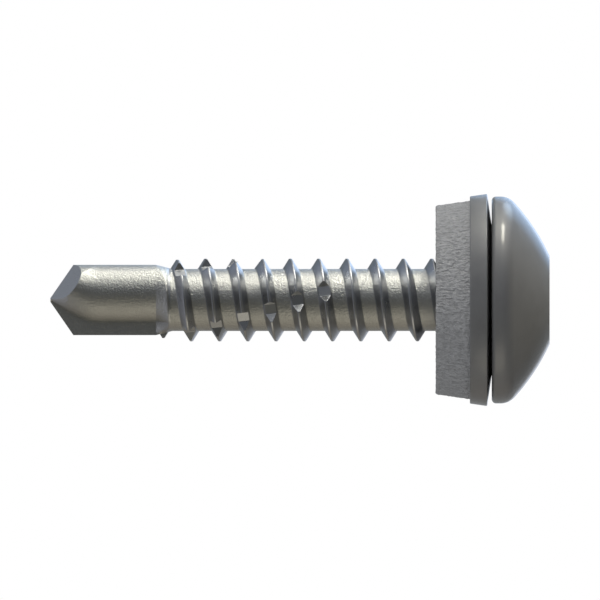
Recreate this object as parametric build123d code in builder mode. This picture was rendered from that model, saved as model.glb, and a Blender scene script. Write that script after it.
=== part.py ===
"""Self drilling screw with a bonded sealing washer.

Millimetres. The axis is Z: the crown of the head stands on Z = 0 and the drill point is up.
Angles are counterclockwise from +X, seen from the point. The flutes meet in the plane Y = 0.
"""

from build123d import *

import math
import os

# Head
CROWN_D = 5.0
HEAD_D = 11.72
HEAD_H = 3.28
DOME_H = 2.32
DOME_R = 11.5
DOME_EDGE_R = 1.06
HEAD_EDGE_R = 0.25
NECK_R = 0.3

# Six-lobe drive recess in the crown
LOBES = 6
ACROSS_LOBES = 4.5
ACROSS_VALLEYS = 3.25
LOBE_R = 0.36
RECESS_DEPTH = 2.0
RECESS_CONE_H = 0.4

# Shank and thread
LENGTH_UNDER_HEAD = 24.99
CORE_D = 3.51
THREAD_D = 4.69
PITCH = 1.6
CREST_W = 0.11
FLANK_ANGLE = 31.5
ROOT_SINK = 0.15
THREAD_START = 1.8
THREAD_L = 16.8
THREAD_END_ANGLE = 180.0
FADE_TURNS = 0.75
FADE_DROP = 0.185

# Serration notches in the crest, counted down the helix from the thread's upper end
NOTCHES = 18
FIRST_NOTCH = 101.1
NOTCH_STEP = 114.9
NOTCH_FLOOR_D = 3.79
NOTCH_FLOOR_W = 0.56
NOTCH_STEEP_WALL = 27.0
NOTCH_SLOPED_WALL = 50.0
NOTCH_REACH = 0.55

# Drill point: two half discs, each set off from the axis and pinched towards the tip
DRILL_D = 3.98
LAND_R = 1.611
POINT_SLOPE = 0.692
RELIEF_SLOPE = 0.61
FLUTE_L = 5.98
RUN_OUT_L = 0.82
RUN_OUT_D = 3.72
RUN_OUT_LAP = 0.28
SHOULDER_L = 0.93
PINCH_L = 2.76
NOSE_L = 1.05
PINCH_BANDS = 12
CHISEL_R = 0.11

# Sealing washer
PLATE_D = 12.03
PLATE_BORE = 5.3
PLATE_T = 1.0
SEAT_D = 8.5
DISH_ANGLE = 8.2
PLATE_EDGE_R = 0.06
SEAL_D = 11.24
SEAL_T = 2.0
SEAL_EDGE_R = 0.08
RUNNING_CLEARANCE = 0.1

# Places that follow from the sizes
TIP_Z = HEAD_H + LENGTH_UNDER_HEAD
FLUTE_END_Z = TIP_Z - FLUTE_L
RUN_OUT_Z = FLUTE_END_Z - RUN_OUT_L
SHANK_END_Z = FLUTE_END_Z - SHOULDER_L
PINCH_Z = TIP_Z - PINCH_L
THREAD_START_Z = HEAD_H + THREAD_START
THREAD_END_Z = THREAD_START_Z + THREAD_L
FADE_START_Z = THREAD_END_Z - PITCH * FADE_TURNS
FULL_TURNS = THREAD_L / PITCH - FADE_TURNS
FADE_START_ANGLE = THREAD_END_ANGLE - 360 * FADE_TURNS
LAND_INNER = DRILL_D / 2 - 2 * LAND_R
SHOULDER_R = CORE_D / 2 + (DRILL_D - CORE_D) / 2 * (SHOULDER_L - RUN_OUT_L) / SHOULDER_L


def polar(radius, degrees):
    """Point at a radius and an angle."""
    return radius * math.cos(math.radians(degrees)), radius * math.sin(math.radians(degrees))


def near(shape, x, y, z=0):
    """The vertex of a shape that lies nearest to a point."""
    return shape.vertices().sort_by_distance((x, y, z))[0]


def thread_section():
    """Thread profile in the plane of the axis, standing on the core with its root sunk in."""
    depth = (THREAD_D - CORE_D) / 2 + ROOT_SINK
    root = CREST_W / 2 + depth * math.tan(math.radians(FLANK_ANGLE))
    with BuildSketch(Plane.XZ) as section:
        with BuildLine():
            Polyline(
                (THREAD_D / 2 - depth, -root),
                (THREAD_D / 2, -CREST_W / 2),
                (THREAD_D / 2, CREST_W / 2),
                (THREAD_D / 2 - depth, root),
                close=True,
            )
        make_face()
    return section.sketch


def half_disc(z, inner, radius):
    """Half disc on the side of -Y, from inner towards +X."""
    with BuildSketch(Plane.XY.offset(z)) as section:
        with BuildLine():
            ThreePointArc((inner, 0), (inner + radius, -radius), (inner + 2 * radius, 0))
            Line((inner + 2 * radius, 0), (inner, 0))
        make_face()
    return section.sketch


def lobe_side(angle, side):
    """Where the arc of the recess's lobe at an angle meets the valley on one side of it."""
    lobe_at, valley_at = ACROSS_LOBES / 2 - LOBE_R, ACROSS_VALLEYS / 2
    cosine = math.cos(math.pi / LOBES)
    top = LOBE_R**2 - valley_at**2 - lobe_at**2 + 2 * valley_at * lobe_at * cosine
    valley_r = top / 2 / (valley_at - lobe_at * cosine - LOBE_R)
    lobe_centre = Vector(*polar(lobe_at, angle))
    valley_centre = Vector(*polar(valley_at + valley_r, angle + side * 180 / LOBES))
    return lobe_centre + (valley_centre - lobe_centre).normalized() * LOBE_R


def dished_ring(bore_d, rim_d, start, thickness):
    """Outline of a dished ring's section, a distance below the head's seat."""
    slope = math.radians(DISH_ANGLE)
    upper_knee = SEAT_D / 2 - start * math.tan(slope / 2)
    lower_knee = SEAT_D / 2 - (start + thickness) * math.tan(slope / 2)
    rim_z = HEAD_H + start + (rim_d / 2 - upper_knee) * math.tan(slope)
    lower_rim = (rim_d / 2 - thickness * math.sin(slope), rim_z + thickness * math.cos(slope))
    return [
        (bore_d / 2, HEAD_H + start),
        (upper_knee, HEAD_H + start),
        (rim_d / 2, rim_z),
        lower_rim,
        (lower_knee, HEAD_H + start + thickness),
        (bore_d / 2, HEAD_H + start + thickness),
    ]


def pinched(distance):
    """Inner edge and radius of the point's half disc at a distance below the tip."""
    inner = LAND_INNER * math.sin(math.pi / 2 * distance / PINCH_L)
    radius = LAND_R * math.sin(math.pi / 2 * min(1, distance / NOSE_L))
    return inner, radius


# Thread: a full helix, then a short one that sinks and ends in the plane of the flutes, at -X
with BuildPart() as full_thread:
    with BuildLine() as path:
        Helix(PITCH, PITCH * FULL_TURNS, CORE_D / 2)
    sweep(thread_section(), path.line, is_frenet=True)

with BuildPart() as thread_fade:
    fade_angle = math.degrees(math.atan(FADE_DROP / (PITCH * FADE_TURNS)))
    with BuildLine() as path:
        Helix(PITCH, PITCH * FADE_TURNS, CORE_D / 2, cone_angle=-fade_angle)
    sweep(thread_section(), path.line, is_frenet=True)

# One notch, cut square to the helix at an angle of zero
with BuildPart() as notch_tool:
    lead = math.atan(PITCH / (math.pi * NOTCH_FLOOR_D))
    floor = NOTCH_FLOOR_D / 2
    height = THREAD_D / 2 - floor + ROOT_SINK
    steep = height * math.tan(math.radians(NOTCH_STEEP_WALL))
    sloped = height * math.tan(math.radians(NOTCH_SLOPED_WALL))
    along = (0, math.cos(lead), math.sin(lead))
    square_to_it = (0, math.sin(lead), -math.cos(lead))
    with BuildSketch(Plane((0, 0, 0), x_dir=along, z_dir=square_to_it)):
        with BuildLine():
            Polyline(
                (-NOTCH_FLOOR_W / 2, floor),
                (NOTCH_FLOOR_W / 2, floor),
                (NOTCH_FLOOR_W / 2 + steep, floor + height),
                (-NOTCH_FLOOR_W / 2 - sloped, floor + height),
                close=True,
            )
        make_face()
    extrude(amount=NOTCH_REACH, both=True)

notch_places = []
for index in range(NOTCHES):
    back = FIRST_NOTCH + NOTCH_STEP * index
    notch_z = THREAD_END_Z - PITCH * back / 360
    notch_places.append(Location((0, 0, notch_z), (0, 0, THREAD_END_ANGLE - back)))

# One half of the drill point, on the side of -Y
with BuildPart() as point_half:
    extrude(half_disc(FLUTE_END_Z, LAND_INNER, LAND_R), amount=PINCH_Z - FLUTE_END_Z)
    sections = [half_disc(PINCH_Z, LAND_INNER, LAND_R)]
    for band in range(1, PINCH_BANDS):
        below_tip = PINCH_L * (1 - band / PINCH_BANDS)
        sections.append(half_disc(TIP_Z - below_tip, *pinched(below_tip)))
    sections.append(half_disc(TIP_Z, -CHISEL_R, CHISEL_R))
    loft(sections, ruled=True)
    split(
        bisect_by=Plane((CHISEL_R, 0, TIP_Z), z_dir=(POINT_SLOPE, -RELIEF_SLOPE, 1)),
        keep=Keep.BOTTOM,
    )

# Its run-out: from the offset half disc beside the flute out to the round shank
with BuildPart() as run_out_half:
    start_r, end_r, lap_x = DRILL_D / 2, RUN_OUT_D / 2, -LAND_INNER / 2
    end_y = -math.sqrt(end_r**2 - LAND_INNER**2)
    middle = math.degrees(math.atan2(end_y, LAND_INNER)) / 2
    with BuildSketch(Plane.XY.offset(FLUTE_END_Z)):
        with BuildLine():
            Line((-start_r, 0), (LAND_INNER, 0))
            ThreePointArc((LAND_INNER, 0), (LAND_INNER + LAND_R, -LAND_R), (start_r, 0))
            Polyline((start_r, 0), (lap_x, 0), (0, RUN_OUT_LAP), (-start_r, 0))
        make_face()
    with BuildSketch(Plane.XY.offset(RUN_OUT_Z)):
        with BuildLine():
            RadiusArc((-end_r, 0), (LAND_INNER, end_y), end_r)
            ThreePointArc((LAND_INNER, end_y), polar(end_r, middle), (end_r, 0))
            Polyline((end_r, 0), (lap_x, 0), (0, RUN_OUT_LAP), (-end_r, 0))
        make_face()
    loft(ruled=True)

with BuildPart() as point:
    add(point_half.part)
    add(run_out_half.part)
    add(point_half.part, rotation=(0, 0, 180))
    add(run_out_half.part, rotation=(0, 0, 180))
    with BuildSketch(Plane.XZ):
        with BuildLine():
            Polyline(
                (0, RUN_OUT_Z),
                (SHOULDER_R, RUN_OUT_Z),
                (DRILL_D / 2, FLUTE_END_Z),
                (DRILL_D / 2, TIP_Z),
                (0, TIP_Z),
                close=True,
            )
        make_face()
    revolve(axis=Axis.Z, mode=Mode.INTERSECT)

# The screw: turned blank, thread, point, notches and drive recess
with BuildPart() as screw:
    with BuildSketch(Plane.XZ) as outline:
        with BuildLine():
            Line((0, 0), (CROWN_D / 2, 0))
            RadiusArc((CROWN_D / 2, 0), (HEAD_D / 2, DOME_H), -DOME_R)
            Polyline(
                (HEAD_D / 2, DOME_H),
                (HEAD_D / 2, HEAD_H),
                (CORE_D / 2, HEAD_H),
                (CORE_D / 2, SHANK_END_Z),
                (SHOULDER_R, RUN_OUT_Z),
                (0, RUN_OUT_Z),
                (0, 0),
            )
        make_face()
        fillet(near(outline, HEAD_D / 2, DOME_H), DOME_EDGE_R)
        fillet(near(outline, HEAD_D / 2, HEAD_H), HEAD_EDGE_R)
        fillet(near(outline, CORE_D / 2, HEAD_H), NECK_R)
    revolve(axis=Axis.Z)
    start_angle = FADE_START_ANGLE - 360 * FULL_TURNS
    with Locations(Location((0, 0, THREAD_START_Z), (0, 0, start_angle))):
        add(full_thread.part)
    with Locations(Location((0, 0, FADE_START_Z), (0, 0, FADE_START_ANGLE))):
        add(thread_fade.part)
    add(point.part)
    with Locations(notch_places):
        add(notch_tool.part, mode=Mode.SUBTRACT)
    with BuildSketch():
        with BuildLine():
            for index in range(LOBES):
                lobe = 360 / LOBES * index
                ThreePointArc(
                    lobe_side(lobe, -1), polar(ACROSS_LOBES / 2, lobe), lobe_side(lobe, 1)
                )
                ThreePointArc(
                    lobe_side(lobe, 1),
                    polar(ACROSS_VALLEYS / 2, lobe + 180 / LOBES),
                    lobe_side(lobe + 360 / LOBES, -1),
                )
        make_face()
    extrude(amount=RECESS_DEPTH, mode=Mode.SUBTRACT)
    with Locations((0, 0, RECESS_DEPTH)):
        Cone(
            ACROSS_VALLEYS / 2,
            0,
            RECESS_CONE_H,
            align=(Align.CENTER, Align.CENTER, Align.MIN),
            mode=Mode.SUBTRACT,
        )

# Dished metal washer, its flat centre seated under the head
with BuildPart() as washer_plate:
    ring = dished_ring(PLATE_BORE, PLATE_D, 0, PLATE_T)
    with BuildSketch(Plane.XZ) as outline:
        with BuildLine():
            Polyline(*ring, close=True)
        make_face()
        fillet([near(outline, *ring[2]), near(outline, *ring[3])], PLATE_EDGE_R)
    revolve(axis=Axis.Z)

# Sealing ring, bonded under the metal washer all over its upper face
with BuildPart() as rubber_seal:
    ring = dished_ring(THREAD_D + 2 * RUNNING_CLEARANCE, SEAL_D, PLATE_T, SEAL_T)
    with BuildSketch(Plane.XZ) as outline:
        with BuildLine():
            Polyline(*ring, close=True)
        make_face()
        fillet(near(outline, *ring[3]), SEAL_EDGE_R)
    revolve(axis=Axis.Z)

os.makedirs("parts", exist_ok=True)
screw.part.label = "screw"
export_step(screw.part, "parts/screw.step")
washer_plate.part.label = "washer_plate"
export_step(washer_plate.part, "parts/washer_plate.step")
rubber_seal.part.label = "rubber_seal"
export_step(rubber_seal.part, "parts/rubber_seal.step")
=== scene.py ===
import math

import bpy
from mathutils import Matrix, Vector


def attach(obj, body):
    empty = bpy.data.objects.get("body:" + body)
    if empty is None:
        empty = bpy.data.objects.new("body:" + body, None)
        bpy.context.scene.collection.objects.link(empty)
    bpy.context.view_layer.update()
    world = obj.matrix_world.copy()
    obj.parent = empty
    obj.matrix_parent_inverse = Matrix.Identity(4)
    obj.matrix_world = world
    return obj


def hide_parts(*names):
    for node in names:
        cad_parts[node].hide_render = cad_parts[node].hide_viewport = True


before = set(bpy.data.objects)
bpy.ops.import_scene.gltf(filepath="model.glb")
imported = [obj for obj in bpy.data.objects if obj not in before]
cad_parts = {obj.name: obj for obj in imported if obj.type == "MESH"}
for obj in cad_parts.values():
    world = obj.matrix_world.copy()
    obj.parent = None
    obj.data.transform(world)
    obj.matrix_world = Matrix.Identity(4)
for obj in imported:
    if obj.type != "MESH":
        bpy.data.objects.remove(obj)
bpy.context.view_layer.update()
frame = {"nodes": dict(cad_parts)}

mm = 0.001
print("frame loaded:", ", ".join(frame["nodes"]))


# Modelling helpers. A piece is modelled at a thousand times its size, so that its
# numbers read as millimetres, and finishPiece brings it down to metres.

closeness = {  # millimetres below which two vertices are merged or two heights are the same
    "outline": 0.0001,
    "mesh": 0.0005,
    "cut": 0.001,
    "height": 0.001,
}


def startClean():
    if bpy.context.object and bpy.context.object.mode != "OBJECT":
        bpy.ops.object.mode_set(mode="OBJECT")
    bpy.ops.object.select_all(action="DESELECT")


def pickOut(piece):
    startClean()
    piece.select_set(True)
    bpy.context.view_layer.objects.active = piece


def drawOutline(name, points):
    # One vertex is pulled from point to point; where the last is the first, it closes
    startClean()
    bpy.ops.mesh.primitive_plane_add(size=1)
    piece = bpy.context.object
    piece.name = name
    bpy.ops.object.mode_set(mode="EDIT")
    bpy.ops.mesh.merge(type="CENTER")
    bpy.ops.transform.translate(value=points[0])
    for here, there in zip(points, points[1:]):
        step = Vector(there) - Vector(here)
        bpy.ops.mesh.extrude_region_move(TRANSFORM_OT_translate={"value": step})
    bpy.ops.mesh.select_all(action="SELECT")
    bpy.ops.mesh.remove_doubles(threshold=closeness["outline"])
    bpy.ops.object.mode_set(mode="OBJECT")
    return piece


def spinRound(piece, steps):
    pickOut(piece)
    bpy.ops.object.mode_set(mode="EDIT")
    bpy.ops.mesh.select_all(action="SELECT")
    bpy.ops.mesh.spin(steps=steps, angle=math.tau, center=(0, 0, 0), axis=(0, 0, 1))
    tidyMesh()


def tidyMesh():
    # Edit mode in, object mode out: doubles merged, faces turned outwards
    bpy.ops.mesh.select_all(action="SELECT")
    bpy.ops.mesh.remove_doubles(threshold=closeness["mesh"])
    bpy.ops.mesh.normals_make_consistent(inside=False)
    bpy.ops.object.mode_set(mode="OBJECT")


def addModifier(piece, kind, **settings):
    modifier = piece.modifiers.new(kind.lower(), kind)
    for setting, value in settings.items():
        setattr(modifier, setting, value)
    return modifier


def applyModifiers(piece):
    pickOut(piece)
    for modifier in list(piece.modifiers):
        bpy.ops.object.modifier_apply(modifier=modifier.name)


def combine(piece, tool, operation):
    # The tool is used up
    addModifier(piece, "BOOLEAN", object=tool, operation=operation, solver="EXACT")
    applyModifiers(piece)
    bpy.data.objects.remove(tool)
    bpy.ops.object.mode_set(mode="EDIT")
    bpy.ops.mesh.select_all(action="SELECT")
    bpy.ops.mesh.remove_doubles(threshold=closeness["cut"])
    bpy.ops.object.mode_set(mode="OBJECT")


def copyTurned(piece, turn):
    twin = piece.copy()
    twin.data = piece.data.copy()
    twin.data.transform(turn)
    bpy.context.collection.objects.link(twin)
    return twin


def joinAll(pieces):
    startClean()
    for piece in pieces:
        piece.select_set(True)
    bpy.context.view_layer.objects.active = pieces[0]
    bpy.ops.object.join()
    return pieces[0]


def finishPiece(piece, material, smoothAngle, body, node):
    pickOut(piece)
    bpy.ops.transform.resize(value=(mm, mm, mm), center_override=(0, 0, 0))
    bpy.ops.object.transform_apply(location=True, rotation=True, scale=True)
    bpy.ops.object.shade_smooth_by_angle(angle=math.radians(smoothAngle))
    piece.data.materials.clear()
    piece.data.materials.append(material)
    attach(piece, body)
    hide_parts(node)
    print(piece.name, "finished,", len(piece.data.polygons), "faces")


def arcPoints(centre, radius, start, end, steps):
    # Points in the XZ plane, angles in degrees from +X towards +Z
    points = []
    for step in range(steps + 1):
        turn = math.radians(start + (end - start) * step / steps)
        points.append((centre[0] + radius * math.cos(turn), 0, centre[1] + radius * math.sin(turn)))
    return points


def evenPoints(here, there, steps):
    # Both ends are in the list
    here, there = Vector(here), Vector(there)
    return [tuple(here.lerp(there, step / steps)) for step in range(steps + 1)]


def roundCorner(before, corner, after, radius, steps):
    before, corner, after = Vector(before), Vector(corner), Vector(after)
    inwards, onwards = (before - corner).normalized(), (after - corner).normalized()
    half = inwards.angle(onwards) / 2
    middle = corner + (inwards + onwards).normalized() * radius / math.sin(half)
    first = corner + inwards * radius / math.tan(half) - middle
    last = corner + onwards * radius / math.tan(half) - middle
    return [tuple(middle + radius * first.slerp(last, step / steps)) for step in range(steps + 1)]


# Screw blank: head, neck, shank and the shoulder of the drill point, turned in one

blank = {
    "segments": 144,
    "domeSteps": 24,
    "edgeSteps": 16,
    "roundSteps": 14,
    "smoothAngle": 8,
    "crownRadius": 2.5,
    "headRadius": 5.86,
    "headHeight": 3.28,
    "domeHeight": 2.32,
    "domeArc": 11.5,
    "domeEdge": 1.06,
    "rimRound": 0.25,
    "neckRound": 0.3,
    "coreRadius": 1.755,
    "shankEnd": 21.36,
    "fluteEnd": 22.29,
    "drillRadius": 1.99,
    "tip": 28.27,
}


def domeOutline():
    # The dome's arc from the crown, then the rounded edge that runs into the side
    crown = Vector((blank["crownRadius"], 0))
    side = Vector((blank["headRadius"], blank["domeHeight"]))
    half = (side - crown) / 2
    inwards = Vector((-half.y, half.x)).normalized()
    centre = crown + half + inwards * math.sqrt(blank["domeArc"] ** 2 - half.length_squared)
    edgeX = blank["headRadius"] - blank["domeEdge"]
    reach = blank["domeArc"] - blank["domeEdge"]
    edge = Vector((edgeX, centre.y - math.sqrt(reach ** 2 - (edgeX - centre.x) ** 2)))
    start = math.degrees(math.atan2(crown.y - centre.y, crown.x - centre.x))
    meet = math.degrees(math.atan2(edge.y - centre.y, edge.x - centre.x))
    dome = arcPoints(centre, blank["domeArc"], start, meet, blank["domeSteps"])
    return dome[:-1] + arcPoints(edge, blank["domeEdge"], meet, 0, blank["edgeSteps"])


def turnBlank():
    # Open at the end, where the point is drawn out of it
    rim, neck, steps = blank["rimRound"], blank["neckRound"], blank["roundSteps"]
    seat, core = blank["headHeight"], blank["coreRadius"]
    pointStart = blank["fluteEnd"] - point["runOutLength"]
    outline = [(0, 0, 0)] + domeOutline()
    outline += arcPoints((blank["headRadius"] - rim, seat - rim), rim, 0, 90, steps)
    outline += arcPoints((core + neck, seat + neck), neck, -90, -180, steps)
    outline += [(core, 0, blank["shankEnd"]), (shoulderRadius(pointStart), 0, pointStart)]
    piece = drawOutline("screwBody", outline)
    spinRound(piece, blank["segments"])
    return piece


# Thread: a rolled ridge that winds up the shank and sinks at its end

thread = {
    "stepsPerTurn": 144,
    "radius": 2.345,
    "crestWidth": 0.11,
    "crestRound": 0.05,
    "crestSteps": 8,
    "flankAngle": 31.5,
    "sunk": 0.15,
    "pitch": 1.6,
    "start": 5.08,
    "fullTurns": 9.75,
    "fadeTurns": 0.75,
    "fadeDrop": 0.185,
}

notch = {
    "count": 18,
    "first": 101.1,
    "step": 114.9,
    "floorRadius": 1.895,
    "floorWidth": 0.56,
    "steepWall": 27,
    "slopedWall": 50,
    "reach": 0.55,
    "edgeRound": 0.018,
    "roundSteps": 2,
    "roundFrom": 32,  # edges that turn by more degrees are rounded
}


def threadSection():
    crest, root = thread["radius"], blank["coreRadius"] - thread["sunk"]
    top = thread["crestWidth"] / 2
    foot = top + (crest - root) * math.tan(math.radians(thread["flankAngle"]))
    low, high = (root, 0, -foot), (root, 0, foot)
    lowCrest, highCrest = (crest, 0, -top), (crest, 0, top)
    outline = [low] + roundCorner(low, lowCrest, highCrest, thread["crestRound"], thread["crestSteps"])
    outline += roundCorner(lowCrest, highCrest, high, thread["crestRound"], thread["crestSteps"])
    return outline + [high, low]


def rollThread():
    turns = thread["fullTurns"] + thread["fadeTurns"]
    piece = drawOutline("threadRidge", threadSection())
    corners = len(piece.data.vertices)
    steps = round(turns * thread["stepsPerTurn"])
    addModifier(
        piece, "SCREW", axis="Z", angle=turns * math.tau, screw_offset=turns * thread["pitch"],
        steps=steps, render_steps=steps, use_smooth_shade=False,
    )
    applyModifiers(piece)
    fadeStart = round(thread["fullTurns"] * thread["stepsPerTurn"])
    for vertex in piece.data.vertices:
        along = vertex.index // corners - fadeStart
        if along > 0:
            drop = thread["fadeDrop"] * along / (steps - fadeStart)
            radius = math.hypot(vertex.co.x, vertex.co.y)
            vertex.co.xy *= (radius - drop) / radius
    piece.data.transform(Matrix.Translation((0, 0, thread["start"])))
    pickOut(piece)
    bpy.ops.object.mode_set(mode="EDIT")
    bpy.ops.mesh.select_all(action="DESELECT")
    bpy.ops.mesh.select_non_manifold()
    bpy.ops.mesh.fill_holes(sides=0)
    tidyMesh()
    return piece


def notchTool():
    # A wedge across the ridge: a flat floor, a steep wall above it and a sloped wall below
    floor, reach = notch["floorRadius"], notch["reach"]
    height = thread["radius"] - floor + thread["sunk"]
    lead = math.atan(thread["pitch"] / (math.tau * floor))
    steep = height * math.tan(math.radians(notch["steepWall"]))
    sloped = height * math.tan(math.radians(notch["slopedWall"]))
    along = Vector((0, math.cos(lead), math.sin(lead)))
    across = Vector((0, math.sin(lead), -math.cos(lead)))
    half, top = notch["floorWidth"] / 2, floor + height
    corners = [(half, floor), (half + steep, top), (-half - sloped, top), (-half, floor)]
    points = [Vector((out, 0, 0)) + along * aside - across * reach for aside, out in corners]
    piece = drawOutline("notchTool", points + points[:1])
    bpy.ops.object.mode_set(mode="EDIT")
    bpy.ops.mesh.select_all(action="SELECT")
    bpy.ops.mesh.edge_face_add()
    bpy.ops.mesh.extrude_region_move(TRANSFORM_OT_translate={"value": across * 2 * reach})
    tidyMesh()
    return piece


def cutNotches(ridge):
    tool = notchTool()
    tools = []
    endAngle = 360 * (thread["fullTurns"] + thread["fadeTurns"])
    for index in range(notch["count"]):
        turn = endAngle - notch["first"] - notch["step"] * index
        lift = Matrix.Translation((0, 0, thread["start"] + thread["pitch"] * turn / 360))
        tools.append(copyTurned(tool, lift @ Matrix.Rotation(math.radians(turn), 4, "Z")))
    bpy.data.objects.remove(tool)
    combine(ridge, joinAll(tools), "DIFFERENCE")
    addModifier(
        ridge, "BEVEL", width=notch["edgeRound"], segments=notch["roundSteps"], limit_method="ANGLE",
        angle_limit=math.radians(notch["roundFrom"]), use_clamp_overlap=False,
    )
    applyModifiers(ridge)


# Drill point: a ring below the shank is drawn out and pinched to two half discs beside the axis

point = {
    "halfRadius": 1.611,
    "pinchLength": 2.76,
    "noseLength": 1.05,
    "chisel": 0.11,
    "tipSlope": 0.692,
    "reliefSlope": 0.61,
    "runOutLength": 0.82,
    "runOutRadius": 1.9,
    "runOutRings": 16,
    "runOutTurn": 3.5,  # the power at which the run-out's lines turn towards the flat face
    "halvings": 20,
    "pinchRings": 36,
    "faceSteps": 19,
    "toolSize": 6,
    "lap": 0.004,
}


def shoulderRadius(z):
    # The cone between the shank and the wider drill
    rise = (z - blank["shankEnd"]) / (blank["fluteEnd"] - blank["shankEnd"])
    return blank["coreRadius"] + (blank["drillRadius"] - blank["coreRadius"]) * min(1, max(0, rise))


def drillSection(below, step):
    # A vertex of the ring that lies below the tip: on the round side of a half, then along
    # the flat face of the other
    roundSteps = blank["segments"] // 2 - point["faceSteps"]
    inner = (blank["drillRadius"] - 2 * point["halfRadius"]) * math.sin(
        math.pi / 2 * min(1, below / point["pinchLength"]))
    radius = point["halfRadius"] * math.sin(math.pi / 2 * min(1, below / point["noseLength"]))
    if below < closeness["height"]:
        inner, radius = -point["chisel"], point["chisel"]
    if step <= roundSteps:
        turn = math.pi * step / roundSteps
        return Vector((inner + radius + radius * math.cos(turn), -radius * math.sin(turn)))
    outer = Vector((-min(inner + 2 * radius, blank["drillRadius"]), 0))
    return Vector((inner, 0)).lerp(outer, (step - roundSteps) / point["faceSteps"])


def runOutSection(z, step):
    # Straight lines from the drill's ring to a round one, which keep their angle at first
    # and make room for the flat face later
    half = blank["segments"] // 2
    faceTurn = math.pi * point["faceSteps"] / half
    place = drillSection(blank["tip"] - blank["fluteEnd"], step)
    turn = math.atan2(-place.y, place.x)
    if step > half - point["faceSteps"]:
        turn = math.tau * step / blank["segments"]
    else:
        turn -= faceTurn * (turn / math.pi) ** point["runOutTurn"]
    stock = point["runOutRadius"] * Vector((math.cos(turn), -math.sin(turn)))
    return stock.lerp(place, (z - blank["fluteEnd"]) / point["runOutLength"] + 1)


def creaseHeight(step):
    # Where the run-out sinks below the shoulder's cone, found by halving
    low, high = blank["fluteEnd"] - point["runOutLength"], blank["fluteEnd"]
    for halving in range(point["halvings"]):
        middle = (low + high) / 2
        if runOutSection(middle, step).length > shoulderRadius(middle):
            low = middle
        else:
            high = middle
    return high


def drawPoint(body):
    start, end = blank["fluteEnd"] - point["runOutLength"], blank["fluteEnd"]
    half, rings = blank["segments"] // 2, point["runOutRings"]
    heights = [start + point["runOutLength"] * ring / rings for ring in range(rings + 1)]
    heights += [
        blank["tip"] - point["pinchLength"] * (1 - ring / point["pinchRings"])
        for ring in range(point["pinchRings"] + 1)]
    pickOut(body)
    bpy.ops.object.mode_set(mode="EDIT")
    bpy.ops.mesh.select_all(action="DESELECT")
    bpy.ops.mesh.select_non_manifold()
    for here, there in zip(heights, heights[1:]):
        bpy.ops.mesh.extrude_region_move(TRANSFORM_OT_translate={"value": (0, 0, there - here)})
    bpy.ops.mesh.edge_face_add()
    bpy.ops.object.mode_set(mode="OBJECT")
    creases = [creaseHeight(step) for step in range(half)]
    for vertex in body.data.vertices:
        z = vertex.co.z
        if z < start + closeness["height"]:
            continue
        turn = -math.atan2(vertex.co.y, vertex.co.x) / math.tau
        step = round(turn * blank["segments"]) % blank["segments"]
        side = 1 if step < half else -1
        if z < end - closeness["height"]:
            # Half of the run-out's rings lie on the cone, half past the crease
            share, crease = 2 * (z - start) / point["runOutLength"], creases[step % half]
            if share < 1:
                z = start + (crease - start) * share
            else:
                z = crease + (end - crease) * (share - 1)
            place = runOutSection(z, step % half)
        else:
            place = drillSection(blank["tip"] - z, step % half)
        place *= min(1, shoulderRadius(z) / place.length)
        vertex.co = (side * place.x, side * place.y, z)
    bpy.ops.object.mode_set(mode="EDIT")
    tidyMesh()


def grindRelief(body):
    # Each half's nose is ground to a sloped plane through its end of the chisel edge
    startClean()
    size = point["toolSize"]
    middle = (0, point["lap"] - size / 2, blank["tip"] - size / 6)
    bpy.ops.mesh.primitive_cube_add(size=size, location=middle)
    tool = bpy.context.object
    tool.name = "reliefTool"
    bpy.ops.object.transform_apply(location=True, rotation=True, scale=True)
    bpy.ops.object.mode_set(mode="EDIT")
    bpy.ops.mesh.select_all(action="SELECT")
    bpy.ops.mesh.bisect(
        plane_co=(point["chisel"], 0, blank["tip"]), plane_no=(point["tipSlope"], -point["reliefSlope"], 1),
        use_fill=True, clear_inner=True, threshold=closeness["outline"])
    tidyMesh()
    for turn in (math.pi, 0):
        combine(body, copyTurned(tool, Matrix.Rotation(turn, 4, "Z")), "DIFFERENCE")
    bpy.data.objects.remove(tool)


# Six-lobe drive recess in the crown

recess = {
    "lobes": 6,
    "lobeReach": 2.25,
    "valleyReach": 1.625,
    "lobeRadius": 0.36,
    "depth": 2.0,
    "coneDepth": 0.4,
    "coneEnd": 0.05,
    "startAhead": 0.1,  # the tool starts that far outside the crown
    "arcSteps": 5,
}


def recessOutline():
    # Lobe arcs and the wide valley arcs between them, tangent where they meet
    lobeAt, valleyAt = recess["lobeReach"] - recess["lobeRadius"], recess["valleyReach"]
    step, arcs = math.pi / recess["lobes"], recess["arcSteps"]
    lobeAlong = lobeAt * math.cos(step)
    across = recess["lobeRadius"] ** 2 - valleyAt ** 2 - lobeAt ** 2 + 2 * valleyAt * lobeAlong
    valleyRadius = across / 2 / (valleyAt - lobeAlong - recess["lobeRadius"])
    points = []
    for index in range(recess["lobes"]):
        lobe, valley = 2 * step * index, 2 * step * index + step
        lobeCentre = Vector((lobeAt, 0)) @ Matrix.Rotation(-lobe, 2)
        valleyCentre = Vector((valleyAt + valleyRadius, 0)) @ Matrix.Rotation(-valley, 2)
        meet = (valleyCentre - lobeCentre).angle(lobeCentre)
        for part in range(-arcs, arcs + 1):
            turn = lobe + meet * part / arcs
            points.append(lobeCentre + recess["lobeRadius"] * Vector((math.cos(turn), math.sin(turn))))
        swing = (lobeCentre - valleyCentre).angle(-valleyCentre)
        for part in range(1 - arcs, arcs):
            turn = valley + math.pi - swing * part / arcs
            points.append(valleyCentre + valleyRadius * Vector((math.cos(turn), math.sin(turn))))
    return [(x, y, -recess["startAhead"]) for x, y in points]


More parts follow.
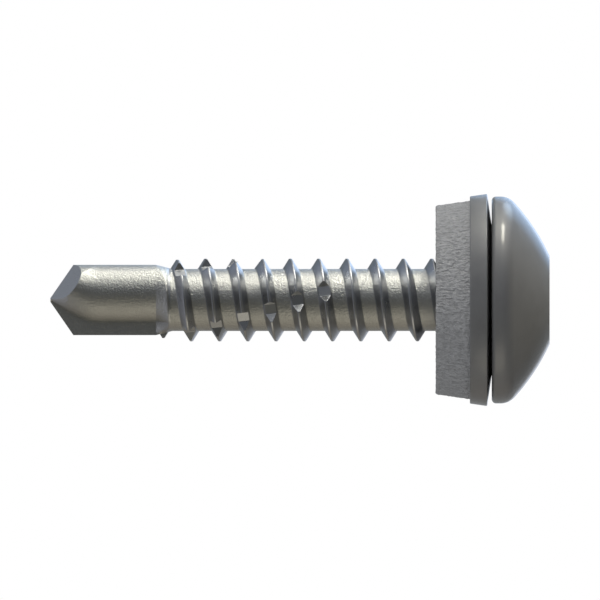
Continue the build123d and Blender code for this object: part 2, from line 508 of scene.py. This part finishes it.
def cutRecess(body):
    outline = recessOutline()
    tool = drawOutline("recessTool", outline + outline[:1])
    bpy.ops.object.mode_set(mode="EDIT")
    bpy.ops.mesh.select_all(action="SELECT")
    bpy.ops.mesh.edge_face_add()
    depth = recess["depth"] + recess["startAhead"]
    bpy.ops.mesh.extrude_region_move(TRANSFORM_OT_translate={"value": (0, 0, depth)})
    inset = recess["valleyReach"] / recess["lobeReach"]
    bpy.ops.mesh.extrude_region_move(TRANSFORM_OT_translate={"value": (0, 0, 0)})
    bpy.ops.transform.resize(value=(inset, inset, 1), center_override=(0, 0, recess["depth"]))
    bpy.ops.mesh.extrude_region_move(TRANSFORM_OT_translate={"value": (0, 0, recess["coneDepth"])})
    end = recess["coneEnd"]
    bpy.ops.transform.resize(value=(end, end, 1), center_override=(0, 0, recess["depth"]))
    tidyMesh()
    combine(body, tool, "DIFFERENCE")


# Shared material parts

def feed(tree, node, values):
    # A value is a plain one, or a socket to link
    for socket, value in values.items():
        if isinstance(value, bpy.types.NodeSocket):
            tree.links.new(value, node.inputs[socket])
        else:
            node.inputs[socket].default_value = value


def addNode(tree, kind, values=None, **settings):
    node = tree.nodes.new(kind)
    for setting, value in settings.items():
        setattr(node, setting, value)
    feed(tree, node, values or {})
    return node


def newGroup(name, inputs, outputs):
    group = bpy.data.node_groups.new(name, "ShaderNodeTree")
    for socket, kind in inputs:
        group.interface.new_socket(socket, in_out="INPUT", socket_type=kind)
    for socket in outputs:
        group.interface.new_socket(socket, in_out="OUTPUT", socket_type="NodeSocketFloat")
    return group, group.nodes.new("NodeGroupInput").outputs, group.nodes.new("NodeGroupOutput").inputs


def mixValue(tree, factor, first, second):
    return addNode(tree, "ShaderNodeMix", {"Factor": factor, "A": first, "B": second}).outputs[0]


def scaled(tree, value, factor):
    return addNode(tree, "ShaderNodeMath", {0: value, 1: factor}, operation="MULTIPLY").outputs[0]


skinGrain = {
    "bumpDetail": 1.5,
    "bumpRoughness": 0.55,
    "gritScale": 2.3,
    "gritDetail": 2.0,
    "gritRoughness": 0.6,
    "toneScale": 0.12,
    "toneDetail": 3.0,
    "toneRange": (0.3, 0.7),  # what the noises mostly give
    "colourRange": (0.35, 0.65),
}


def grainGroup():
    # Blasted, rolled or moulded skin: soft bumps with finer grit over them, and a wide tone
    group, given, result = newGroup(
        "surfaceGrain",
        [("Vector", "NodeSocketVector"), ("Scale", "NodeSocketFloat"), ("Grit", "NodeSocketFloat")],
        ["Height", "Tone"],
    )
    bumps = addNode(group, "ShaderNodeTexNoise", {
        "Vector": given["Vector"], "Scale": given["Scale"],
        "Detail": skinGrain["bumpDetail"], "Roughness": skinGrain["bumpRoughness"]})
    finer = scaled(group, given["Scale"], skinGrain["gritScale"])
    grit = addNode(group, "ShaderNodeTexNoise", {
        "Vector": given["Vector"], "Scale": finer,
        "Detail": skinGrain["gritDetail"], "Roughness": skinGrain["gritRoughness"]})
    mixed = mixValue(group, given["Grit"], bumps.outputs[0], grit.outputs[0])
    wider = scaled(group, given["Scale"], skinGrain["toneScale"])
    cloud = addNode(group, "ShaderNodeTexNoise", {
        "Vector": given["Vector"], "Scale": wider, "Detail": skinGrain["toneDetail"]})
    group.links.new(mixed, result["Height"])
    group.links.new(cloud.outputs[0], result["Tone"])
    return group


surfaceGrain = grainGroup()


def addGrain(tree, place, scale, grit):
    values = {"Vector": place, "Scale": scale, "Grit": grit}
    return addNode(tree, "ShaderNodeGroup", values, node_tree=surfaceGrain).outputs


def addBump(tree, height, distance):
    return addNode(tree, "ShaderNodeBump", {"Distance": distance * mm, "Height": height}).outputs[0]


def objectPlace(tree):
    return addNode(tree, "ShaderNodeTexCoord").outputs["Object"]


def newMaterial(name):
    material = bpy.data.materials.new(name)
    material.use_nodes = True
    tree = material.node_tree
    return material, tree, tree.nodes["Principled BSDF"]


def ramp(tree, value, low, high, lowResult=0.0, highResult=1.0):
    return addNode(tree, "ShaderNodeMapRange", {
        "Value": value, "From Min": low, "From Max": high, "To Min": lowResult, "To Max": highResult,
    }, interpolation_type="SMOOTHSTEP").outputs["Result"]


def mixColour(tree, factor, first, second):
    # A colour is a socket or three numbers; the colour mix has its factor, A and B at 0, 6 and 7
    values = {0: factor}
    for socket, colour in ((6, first), (7, second)):
        values[socket] = colour if isinstance(colour, bpy.types.NodeSocket) else (*colour, 1)
    return addNode(tree, "ShaderNodeMix", values, data_type="RGBA").outputs[2]


# Steel of the screw: blasted on the shank and the point, smoother on the thread, and on the
# head under the same clear-coated grey as the washer

screwFinish = {
    "blastedColour": (0.60, 0.60, 0.58),
    "blastedRoughness": 0.31,
    "blastedGrain": 9300,
    "blastedGrit": 0.4,
    "blastedDepth": 1.0,
    "rolledColour": (0.52, 0.53, 0.55),
    "rolledRoughness": 0.30,
    "rolledDepth": 0.1,
    "bumpDistance": 0.052,
    "roughnessSpread": 0.03,
    "threadEdge": (0.015, 0.05),  # distances past the core between which the finish changes
    "shankEdge": (0.35, 0.2),  # the same past the shank's end
    "headEdge": (0.2, -0.02),  # and past the head's seat
}

greyCoat = {
    "colour": (0.17, 0.17, 0.168),
    "metallic": 0.59,
    "roughness": 0.52,
    "coatRoughness": 0.12,
    "roughnessSpread": 0.03,
    "colourSpread": (0.96, 1.04),
    "grain": 9000,
    "grit": 0.5,
    "depth": 0.025,
    "bumpDistance": 0.002,
}


def screwSteel():
    material, tree, shader = newMaterial("screwSteel")
    place = objectPlace(tree)
    parts = addNode(tree, "ShaderNodeSeparateXYZ", {"Vector": place}).outputs
    flat = addNode(tree, "ShaderNodeCombineXYZ", {"X": parts["X"], "Y": parts["Y"]}).outputs[0]
    radius = addNode(tree, "ShaderNodeVectorMath", {0: flat}, operation="LENGTH").outputs["Value"]
    near, far = [(blank["coreRadius"] + edge) * mm for edge in screwFinish["threadEdge"]]
    onThread = ramp(tree, radius, near, far)
    near, far = [(blank["shankEnd"] + edge) * mm for edge in screwFinish["shankEdge"]]
    onThread = scaled(tree, onThread, ramp(tree, parts["Z"], near, far))
    near, far = [(blank["headHeight"] + edge) * mm for edge in screwFinish["headEdge"]]
    onHead = ramp(tree, parts["Z"], near, far)
    grain = addGrain(tree, place, screwFinish["blastedGrain"], screwFinish["blastedGrit"])
    depth = mixValue(tree, onThread, screwFinish["blastedDepth"], screwFinish["rolledDepth"])
    depth = mixValue(tree, onHead, depth, greyCoat["depth"])
    colour = mixColour(tree, onThread, screwFinish["blastedColour"], screwFinish["rolledColour"])
    rough = mixValue(tree, onThread, screwFinish["blastedRoughness"], screwFinish["rolledRoughness"])
    rough = mixValue(tree, onHead, rough, greyCoat["roughness"])
    spread = screwFinish["roughnessSpread"]
    tone = ramp(tree, grain["Tone"], *skinGrain["toneRange"], -spread, spread)
    rough = addNode(tree, "ShaderNodeMath", {0: rough, 1: tone}, operation="ADD").outputs[0]
    feed(tree, shader, {
        "Base Color": mixColour(tree, onHead, colour, greyCoat["colour"]),
        "Metallic": mixValue(tree, onHead, 1.0, greyCoat["metallic"]),
        "Roughness": rough,
        "Coat Weight": onHead,
        "Coat Roughness": greyCoat["coatRoughness"],
        "Normal": addBump(tree, scaled(tree, grain["Height"], depth), screwFinish["bumpDistance"]),
    })
    return material


def washerSteel():
    material, tree, shader = newMaterial("washerSteel")
    grain = addGrain(tree, objectPlace(tree), greyCoat["grain"], greyCoat["grit"])
    rough, spread = greyCoat["roughness"], greyCoat["roughnessSpread"]
    dark, light = [tuple(part * share for part in greyCoat["colour"]) for share in greyCoat["colourSpread"]]
    feed(tree, shader, {
        "Base Color": mixColour(tree, ramp(tree, grain["Tone"], *skinGrain["colourRange"]), dark, light),
        "Metallic": greyCoat["metallic"],
        "Roughness": ramp(tree, grain["Tone"], *skinGrain["toneRange"], rough - spread, rough + spread),
        "Coat Weight": 1.0,
        "Coat Roughness": greyCoat["coatRoughness"],
        "Normal": addBump(tree, grain["Height"], greyCoat["bumpDistance"]),
    })
    return material


# Dished washer: a stamped steel ring

plate = {
    "segments": 256,
    "bore": 2.65,
    "rim": 6.01,
    "thickness": 1.0,
    "seatRadius": 4.25,
    "dishAngle": 8.2,
    "edgeRound": 0.06,
    "boreRound": 0.08,
    "roundSteps": 4,
    "smoothAngle": 20,
}


def dishedCorners(bore, rim, start, thickness):
    # Section of a dished ring that starts at a distance past the head's seat
    slope = math.radians(plate["dishAngle"])
    upperKnee = plate["seatRadius"] - start * math.tan(slope / 2)
    lowerKnee = plate["seatRadius"] - (start + thickness) * math.tan(slope / 2)
    seat = blank["headHeight"] + start
    rimZ = seat + (rim - upperKnee) * math.tan(slope)
    lowerRim = (rim - thickness * math.sin(slope), 0, rimZ + thickness * math.cos(slope))
    return [
        (bore, 0, seat), (upperKnee, 0, seat), (rim, 0, rimZ),
        lowerRim, (lowerKnee, 0, seat + thickness), (bore, 0, seat + thickness),
    ]


def stampPlate():
    ring = dishedCorners(plate["bore"], plate["rim"], 0, plate["thickness"])
    steps = plate["roundSteps"]
    outline = roundCorner(ring[5], ring[0], ring[1], plate["boreRound"], steps) + [ring[1]]
    outline += roundCorner(ring[1], ring[2], ring[3], plate["edgeRound"], steps)
    outline += roundCorner(ring[2], ring[3], ring[4], plate["edgeRound"], steps) + [ring[4]]
    outline += roundCorner(ring[4], ring[5], ring[0], plate["boreRound"], steps)
    piece = drawOutline("washerPlate", outline + outline[:1])
    spinRound(piece, plate["segments"])
    return piece


# Sealing ring: grey rubber with a leathery moulded skin, bonded to the washer

seal = {
    "segments": 560,
    "bore": 2.445,
    "rim": 5.62,
    "thickness": 2.0,
    "edgeRound": 0.1,
    "roundSteps": 4,
    "smoothAngle": 50,
    "sideRows": 34,
    "outerRows": 12,
    "innerRows": 24,
    "grainSize": 0.17,
    "grainDepth": 0.085,
    "grainDetail": 2,
    "grainMiddle": 0.6,  # the texture's value that stays where it is
    "plainEdge": 0.02,  # how far past the bonded face the skin starts
    "colour": (0.222, 0.222, 0.217),
    "colourSpread": (0.85, 1.12),
    "roughness": 0.62,
    "roughnessSpread": 0.05,
    "grain": 6500,
    "grainStretch": 0.5,
    "grit": 0.2,
    "bumpDistance": 0.28,
}


def sealRubber():
    material, tree, shader = newMaterial("sealRubber")
    drawn = addNode(tree, "ShaderNodeMapping", {
        "Vector": objectPlace(tree), "Scale": (1, 1, seal["grainStretch"])})
    grain = addGrain(tree, drawn.outputs[0], seal["grain"], seal["grit"])
    rough, spread = seal["roughness"], seal["roughnessSpread"]
    # The base colour follows the grain's height: darker in the hollows and lighter on the raised cells,
    # which is painted shade in the grain
    dark, light = [tuple(part * share for part in seal["colour"]) for share in seal["colourSpread"]]
    feed(tree, shader, {
        "Base Color": mixColour(tree, ramp(tree, grain["Height"], *skinGrain["colourRange"]), dark, light),
        "Roughness": ramp(tree, grain["Tone"], *skinGrain["toneRange"], rough - spread, rough + spread),
        "Normal": addBump(tree, grain["Height"], seal["bumpDistance"]),
    })
    return material


def mouldSeal():
    ring = dishedCorners(seal["bore"], seal["rim"], plate["thickness"], seal["thickness"])
    edge = roundCorner(ring[2], ring[3], ring[4], seal["edgeRound"], seal["roundSteps"])
    inner = roundCorner(ring[4], ring[5], ring[0], seal["edgeRound"], seal["roundSteps"])
    outline = [ring[0], ring[1]] + evenPoints(ring[2], edge[0], seal["sideRows"])
    outline += edge[1:-1] + evenPoints(edge[-1], ring[4], seal["outerRows"])
    outline += evenPoints(ring[4], inner[0], seal["innerRows"])[1:] + inner[1:] + [ring[0]]
    piece = drawOutline("rubberSeal", outline)
    spinRound(piece, seal["segments"])
    skin = piece.vertex_groups.new(name="skin")  # the bonded face and the bore stay plain
    for vertex in piece.data.vertices:
        radius, z = math.hypot(vertex.co.x, vertex.co.y), vertex.co.z
        bonded = ring[0][2] + max(0, radius - ring[1][0]) * math.tan(math.radians(plate["dishAngle"]))
        if radius > seal["bore"] + seal["edgeRound"] and z > bonded + seal["plainEdge"]:
            skin.add([vertex.index], 1.0, "REPLACE")
    clouds = bpy.data.textures.new("leatheryGrain", "CLOUDS")
    clouds.noise_scale = seal["grainSize"]
    clouds.noise_depth = seal["grainDetail"]
    addModifier(
        piece, "DISPLACE", texture=clouds, strength=seal["grainDepth"], mid_level=seal["grainMiddle"],
        vertex_group="skin", texture_coords="LOCAL",
    )
    applyModifiers(piece)
    return piece


# Studio

photo = {
    "pixels": 600,
    "pixelsPerMillimetre": 17.66,
    "centreHeight": 14.134,
    "distance": 400,
    "clipStart": 0.01,
    "clipEnd": 10,
}


def addCamera():
    # Square to the screw's axis, with the head to the right
    data = bpy.data.cameras.new("camera")
    camera = bpy.data.objects.new("camera", data)
    bpy.context.scene.collection.objects.link(camera)
    data.type = "ORTHO"
    data.ortho_scale = photo["pixels"] / photo["pixelsPerMillimetre"] * mm
    data.clip_start = photo["clipStart"]
    data.clip_end = photo["clipEnd"]
    right, up, back = Vector((0, 0, -1)), Vector((1, 0, 0)), Vector((0, -1, 0))
    turn = Matrix((right, up, back)).transposed().to_4x4()
    place = Vector((0, -photo["distance"], photo["centreHeight"])) * mm
    camera.matrix_world = Matrix.Translation(place) @ turn
    bpy.context.scene.camera = camera


# The tent is what the steel mirrors. A patch has a direction, the cosine of the angle at
# which it has faded out, and a colour
tent = {
    "radius": 0.25,
    "segments": 48,
    "rings": 24,
    "patches": [
        ((1, 1, -1), 0.5, (0.44, 0.45, 0.46)),  # behind, above and to the right
        ((1, 0, 0), 0.5, (0.47, 0.48, 0.48)),  # above
        ((1, -1, 0), 0.5, (0.15, 0.16, 0.175)),  # above the camera
        ((0, 1, 0), 0.5, (0.20, 0.23, 0.25)),  # behind
        ((0, 0, 1), 0.5, (0.43, 0.44, 0.49)),  # past the point
        ((0, 0, -1), 0.5, (0.33, 0.31, 0.25)),  # past the head
        ((-1, 1, 0), 0.5, (0.13, 0.11, 0.09)),  # behind and below
        ((-1, 0, 0), 0.5, (0.19, 0.18, 0.15)),  # below
        ((-0.93, -0.36, -0.05), 0.9, (0.46, 0.42, 0.34)),  # lamp below
        ((-1, -1, 0), 0.5, (0.12, 0.12, 0.105)),  # below the camera
        ((1, 0, -0.2), 0.8, (0.43, 0.42, 0.38)),  # glow round the window
        ((0.96, -0.25, -0.18), 0.985, (10.0, 9.6, 8.2)),  # window above, in two halves
        ((1, -0.03, -0.18), 0.985, (12.0, 11.6, 10.0)),
        ((0.7, 0.62, -0.33), 0.95, (1.2, 1.6, 2.1)),  # window behind
        ((0.45, 0.6, 0.66), 0.9, (0.10, 0.13, 0.19)),  # sky past the point
        ((0.4, 1, -0.3), 0.9, (0.24, 0.48, 0.86)),  # patch of blue sky behind
        ((0, 1, -0.2), 0.95, (0.60, 0.64, 0.77)),  # bright haze low in that sky
    ],
}


def addTent():
    startClean()
    bpy.ops.mesh.primitive_uv_sphere_add(
        segments=tent["segments"], ring_count=tent["rings"], radius=tent["radius"])
    shell = bpy.context.object
    shell.name = "lightTent"
    shell.visible_camera = False
    shell.visible_diffuse = False
    shell.visible_shadow = False
    shell.visible_transmission = False
    material = bpy.data.materials.new("tentLight")
    material.use_nodes = True
    tree = material.node_tree
    tree.nodes.clear()
    towards = addNode(
        tree, "ShaderNodeVectorMath", {0: objectPlace(tree)}, operation="NORMALIZE").outputs[0]
    light = (0, 0, 0)
    for direction, faded, colour in tent["patches"]:
        aim = tuple(Vector(direction).normalized())
        facing = addNode(tree, "ShaderNodeVectorMath", {0: towards, 1: aim}, operation="DOT_PRODUCT")
        share = ramp(tree, facing.outputs["Value"], faded, 1)
        patch = addNode(tree, "ShaderNodeVectorMath", {0: colour, "Scale": share}, operation="SCALE")
        light = addNode(
            tree, "ShaderNodeVectorMath", {0: light, 1: patch.outputs[0]}, operation="ADD").outputs[0]
    glow = addNode(tree, "ShaderNodeEmission", {"Color": light})
    addNode(tree, "ShaderNodeOutputMaterial", {"Surface": glow.outputs[0]})
    shell.data.materials.append(material)


lamps = {
    "worldColour": (0.92, 0.94, 1.0),
    "worldStrength": 0.9,
    "keyPlace": (180, -48, 14),
    "keySize": 0.12,
    "keyPower": 0.43,
}

paleFloor = {
    "size": 2,
    "colour": (0.8, 0.8, 0.8),
    "roughness": 0.8,
}


def addWorld():
    # White where the camera or a reflection looks, soft light everywhere else
    world = bpy.data.worlds.new("studio")
    bpy.context.scene.world = world
    world.use_nodes = True
    tree = world.node_tree
    tree.nodes.clear()
    white = addNode(tree, "ShaderNodeBackground", {"Color": (1, 1, 1, 1), "Strength": 1.0})
    soft = addNode(tree, "ShaderNodeBackground", {
        "Color": (*lamps["worldColour"], 1), "Strength": lamps["worldStrength"]})
    path = addNode(tree, "ShaderNodeLightPath").outputs
    seen = addNode(tree, "ShaderNodeMath", {
        0: path["Is Camera Ray"], 1: path["Is Glossy Ray"]}, operation="MAXIMUM").outputs[0]
    seen = addNode(tree, "ShaderNodeMath", {
        0: seen, 1: path["Is Transmission Ray"]}, operation="MAXIMUM").outputs[0]
    mix = addNode(tree, "ShaderNodeMixShader", {0: seen, 1: soft.outputs[0], 2: white.outputs[0]})
    addNode(tree, "ShaderNodeOutputWorld", {"Surface": mix.outputs[0]})


def addKey():
    data = bpy.data.lights.new("key", "AREA")
    data.size = lamps["keySize"]
    data.energy = lamps["keyPower"]
    key = bpy.data.objects.new("key", data)
    bpy.context.scene.collection.objects.link(key)
    key.location = Vector(lamps["keyPlace"]) * mm
    aim = Vector((0, 0, photo["centreHeight"])) * mm - key.location
    key.rotation_euler = aim.to_track_quat("-Z", "Y").to_euler()
    key.visible_glossy = False


def addFloor():
    startClean()
    bpy.ops.mesh.primitive_plane_add(size=paleFloor["size"])
    floor = bpy.context.object
    floor.name = "floor"
    material, tree, shader = newMaterial("paleFloor")
    feed(tree, shader, {"Base Color": (*paleFloor["colour"], 1), "Roughness": paleFloor["roughness"]})
    floor.data.materials.append(material)
    floor.visible_glossy = False


addCamera()
addWorld()
addTent()
addKey()
addFloor()
bpy.context.scene.view_settings.view_transform = "Standard"
print("studio set")

screwBody = turnBlank()
drawPoint(screwBody)
grindRelief(screwBody)
print("blank turned, point pinched")
cutRecess(screwBody)
ridge = rollThread()
cutNotches(ridge)
joinAll([screwBody, ridge])
print("thread rolled and notched")
finishPiece(screwBody, screwSteel(), blank["smoothAngle"], "screw", "screw")
finishPiece(
    stampPlate(), washerSteel(), plate["smoothAngle"], "sealing_washer", "washer_plate")
finishPiece(
    mouldSeal(), sealRubber(), seal["smoothAngle"], "sealing_washer", "rubber_seal")
